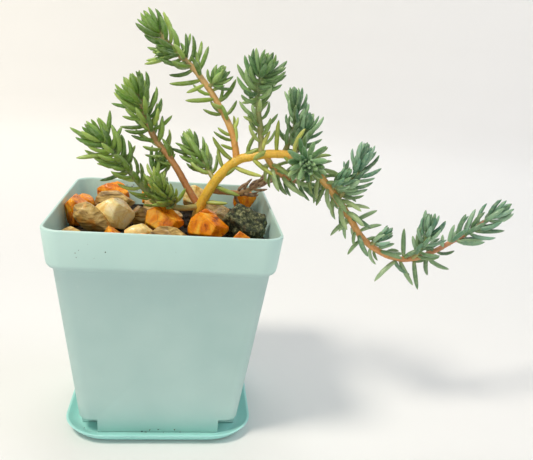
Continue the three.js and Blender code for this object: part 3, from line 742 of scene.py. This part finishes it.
# Leaves set one by one: foot and tip in mm, and age from 0, young, to 1, old.
LEAVES = {
    "main_stem": (
        ((33, -2, 127), (39, -6, 135), 0.75), ((28, -2, 128), (14, -1, 133), 0.8),
        ((25, -1, 122), (19, 0, 130), 0.7),
        ((38, -4, 128), (47, -9, 120), 0.85), ((17, 0, 105), (28, -4, 104), 0.8),
        ((27, 0, 110), (33, -4, 108), 0.8),
        ((42, -5, 132), (42, -5, 142), 0.9), ((49, -6, 134), (47, -7, 147), 0.95),
        ((57, -8, 134), (55, -10, 145), 0.9),
        ((45, -5, 132), (36, -9, 129), 0.7), ((35, -3, 132), (35, 1, 140), 0.6),
        ((52, -7, 132), (54, -10, 124), 0.7),
        ((25, -1, 118), (31, -4, 122), 0.9), ((31, -2, 122), (45, -7, 115), 0.85),
    ),
    "upper_shoot": (
        ((11, 9, 160), (-1, 7, 155), 0.25), ((14, 8, 159), (7, 4, 154), 0.2), ((19, 6, 153), (6, 4, 150), 0.3),
        ((22, 4, 146), (15, 2, 144), 0.35), ((27, 2, 137), (21, 0, 138), 0.4),
        ((28, 0, 131), (23, -2, 132), 0.5),
        ((20, 8, 158), (27, 6, 160), 0.2), ((23, 6, 153), (33, 7, 159), 0.2),
        ((26, 4, 147), (32, 6, 151), 0.25),
        ((29, 2, 140), (33, 4, 144), 0.3), ((30, 0, 134), (32, 4, 142), 0.4),
        ((-2, 11, 170), (-12, 8, 163), 0.2),
        ((16, 10, 169), (17, 12, 176), 0.1), ((12, 10, 167), (13, 12, 176), 0.1),
        ((8, 11, 174), (8, 12, 181), 0),
        ((6, 10, 165), (-1, 7, 166), 0.1), ((25, 5, 150), (19, -1, 149), 0.3),
    ),
    "trailing_shoot": (
        ((110, -16, 83), (97, -19, 77), 0.25), ((112, -16, 83), (118, -19, 72), 0.25),
        ((120, -15, 83), (122, -17, 65), 0.2),
        ((127, -14, 84), (124, -12, 75), 0.2), ((127, -14, 84), (135, -16, 76), 0.2),
        ((91, -17, 94), (83, -19, 90), 0.3),
        ((142, -10, 93), (157, -13, 95), 0.15), ((152, -9, 97), (165, -12, 99), 0.1),
        ((114, -15, 87), (111, -14, 100), 0.2),
        ((121, -14, 90), (114, -16, 95), 0.15), ((98, -17, 89), (98, -17, 84), 0.3),
        ((85, -16, 106), (91, -20, 104), 0.3),
        ((92, -16, 106), (97, -15, 110), 0.25), ((92, -17, 100), (99, -16, 105), 0.25),
        ((98, -17, 95), (103, -17, 103), 0.15),
        ((80, -16, 100), (74, -18, 99), 0.3), ((76, -14, 113), (72, -16, 106), 0.4),
        ((71, -13, 117), (67, -15, 110), 0.4),
        ((129, -13, 86), (126, -12, 94), 0.15), ((135, -12, 88), (132, -12, 97), 0.15),
        ((139, -11, 90), (136, -10, 102), 0.1),
        ((143, -10, 92), (139, -10, 108), 0.1), ((147, -10, 94), (146, -8, 113), 0.05),
        ((101, -17, 91), (106, -20, 95), 0.2),
        ((105, -16, 87), (111, -20, 90), 0.2), ((84, -16, 102), (78, -19, 103), 0.3),
        ((88, -17, 98), (84, -21, 96), 0.3),
    ),
    "crown_shoot": (
        ((32, -7, 159), (25, -9, 168), 0.1), ((34, -8, 162), (29, -7, 176), 0),
        ((36, -10, 166), (31, -12, 174), 0),
        ((39, -9, 163), (50, -11, 168), 0.05), ((40, -8, 161), (52, -10, 164), 0.05),
        ((38, -6, 156), (32, -9, 151), 0.2),
        ((39, -5, 150), (44, -7, 154), 0.3), ((39, -4, 145), (32, -6, 146), 0.35),
    ),
    "left_low_shoot": (
        ((-31, -9, 124), (-41, -11, 123), 0.2), ((-24, -8, 121), (-34, -10, 120), 0.3),
        ((-20, -7, 117), (-25, -10, 116), 0.35),
        ((-36, -10, 133), (-44, -11, 133), 0.1), ((-29, -10, 132), (-23, -8, 146), 0.1),
        ((-27, -9, 129), (-20, -8, 139), 0.15),
        ((-22, -8, 122), (-13, -7, 129), 0.3),
    ),
    "left_tall_shoot": (
        ((-20, 8, 146), (-30, 7, 152), 0.05), ((-20, 8, 144), (-31, 6, 148), 0.1),
        ((-14, 8, 139), (-23, 5, 143), 0.15),
        ((-10, 8, 136), (-19, 5, 140), 0.2), ((-12, 8, 142), (-5, 9, 153), 0.1),
        ((-8, 8, 139), (-4, 9, 148), 0.15),
        ((-5, 8, 133), (-3, 10, 143), 0.2), ((-8, 8, 131), (-18, 5, 132), 0.35),
        ((-4, 7, 128), (2, 9, 134), 0.4),
    ),
}


def make_shoot(name, route, radius, bark, runs, rng):
    stem, walk = make_stem(route, radius)
    finish(stem, name + "_wood", barks[bark], "woody_stem" if name == "main_stem" else "foliage", name)
    bloom = min(1.0, max(0.1, 0.3 + (route[-1][0] - 20) / 100))
    leaves = [place_leaf(walk, *facts, bloom, rng) for facts in LEAVES.get(name, ())]
    for run in runs:
        leaves += grow(walk, radius, run, len(leaves), bloom, rng)
    if leaves:
        pick(*leaves)
        bpy.ops.object.join()
        finish(leaves[0], name + "_leaves", leaf_dry if name == "withered_shoot" else leaf_green, "foliage")


# ---- studio --------------------------------------------------------------------------------------
def make_floor():
    """A pale round floor that sweeps up at its edge."""
    bpy.ops.mesh.primitive_circle_add(vertices=96, radius=1.1, fill_type="NGON", location=(0, 0, 0))
    floor = bpy.context.object
    edit(floor)
    bpy.ops.mesh.select_all(action="SELECT")
    radius, z = 1.1, 0.0
    levels = ((1.3, 0.02), (1.48, 0.09), (1.62, 0.2), (1.72, 0.36), (1.78, 0.56), (1.8, 0.8), (1.8, 1.3))
    bpy.ops.mesh.select_mode(type="EDGE")
    bpy.ops.mesh.region_to_loop()
    for next_radius, next_z in levels:
        bpy.ops.mesh.extrude_edges_move(TRANSFORM_OT_translate={"value": (0, 0, next_z - z)})
        share = next_radius / radius
        bpy.ops.transform.resize(value=(share, share, 1), center_override=(0, 0, 0))
        radius, z = next_radius, next_z
    done()
    clean(floor)
    edit(floor)
    bpy.ops.mesh.select_all(action="SELECT")
    bpy.ops.mesh.flip_normals()
    done()
    smooth(floor, 60)
    floor.name = "floor"
    floor.data.materials.append(Paint("floor_paint", Base_Color=(0.8, 0.8, 0.79, 1), Roughness=0.7).material)


def lamp(name, place, aim, size, power, colour):
    light = bpy.data.lights.new(name, "AREA")
    light.shape = "DISK"
    light.size = size
    light.energy = power
    light.color = colour
    holder = bpy.data.objects.new(name, light)
    bpy.context.collection.objects.link(holder)
    holder.location = place
    holder.rotation_euler = (Vector(aim) - Vector(place)).to_track_quat("-Z", "Y").to_euler()


def make_studio():
    make_floor()
    lamp("warm_lamp", (-0.5, -0.3, 1.05), (0, 0, 0.1), 0.3, 9, (1.0, 0.92, 0.80))
    lamp("cool_lamp", (0.85, 0.0, 0.8), (0, 0, 0.1), 0.6, 2.8, (0.80, 0.88, 1.0))
    lamp("back_lamp", (0.0, 0.6, 1.1), (0.03, 0, 0.1), 0.4, 2.8, (1.0, 0.98, 0.95))
    lamp("low_lamp", (-0.15, -0.95, 0.12), (0, 0, 0.03), 0.7, 2.0, (0.96, 0.99, 1.0))
    lamp("warm_wall_lamp", (-0.5, 0.6, 1.0), (-0.9, 1.7, 0.4), 0.6, 7, (1.0, 0.90, 0.72))
    lamp("cool_wall_lamp", (0.6, 0.6, 1.0), (0.8, 1.7, 0.4), 0.6, 4, (0.95, 0.95, 1.0))
    world = bpy.data.worlds.new("studio")
    world.use_nodes = True
    world.node_tree.nodes["Background"].inputs["Color"].default_value = (0.95, 0.97, 1.0, 1)
    world.node_tree.nodes["Background"].inputs["Strength"].default_value = 0.36
    bpy.context.scene.world = world
    bpy.context.scene.view_settings.view_transform = "Standard"


def make_camera():
    camera = bpy.data.cameras.new("camera")
    camera.sensor_width = 36
    camera.lens = 43.17
    camera.clip_start = 0.01
    holder = bpy.data.objects.new("camera", camera)
    bpy.context.collection.objects.link(holder)
    turn = Matrix.Rotation(-0.133, 4, "Z") @ Matrix.Rotation(math.pi / 2 - 0.287, 4, "X")
    holder.matrix_world = Matrix.Translation((0.0081, -0.2986, 0.181)) @ turn @ Matrix.Rotation(0.082, 4, "Z")
    bpy.context.scene.camera = holder


# ---- making it -----------------------------------------------------------------------------------
pot_plastic = mint_plastic("pot_plastic", (0.46, 0.66, 0.625), (0.52, 0.715, 0.675))
saucer_plastic = mint_plastic("saucer_plastic", (0.37, 0.74, 0.69), (0.42, 0.80, 0.75))
make_pot()
make_saucer()
make_mix()
make_crumbs(random.Random(5))

stone_finish = {"amber": amber_stone(), "cream": cream_stone(), "tan": tan_stone(), "dark": dark_stone()}
for seed, (stone_name, facts) in enumerate(STONES.items()):
    make_stone(stone_name, *facts, random.Random(seed + 40))

leaf_green = leaf_skin()
leaf_dry = dry_leaf_skin()
barks = {
    "ochre": stem_bark("ochre_bark", (0.55, 0.30, 0.03), (0.78, 0.50, 0.04), (0.82, 0.47, 0.05)),
    "rosy": stem_bark("rosy_bark", (0.72, 0.42, 0.10), (0.66, 0.30, 0.10), (0.40, 0.16, 0.12)),
    "tawny": stem_bark("tawny_bark", (0.66, 0.30, 0.06), (0.62, 0.38, 0.14), (0.42, 0.38, 0.16)),
    "russet": stem_bark("russet_bark", (0.42, 0.15, 0.04), (0.55, 0.28, 0.10), (0.42, 0.36, 0.15)),
    "green": stem_bark("green_bark", (0.38, 0.33, 0.10), (0.27, 0.32, 0.12), (0.20, 0.30, 0.14)),
}
leaf_shapes = {curl: leaf_shape(curl) for curl in (0.2, 0.45, 0.7, 0.95, 1.2)}
for seed, (shoot_name, facts) in enumerate(SHOOTS.items()):
    make_shoot(shoot_name, *facts, random.Random(seed + 7))
for shape in leaf_shapes.values():
    bpy.data.objects.remove(shape)

make_studio()
make_camera()

bpy.context.view_layer.update()
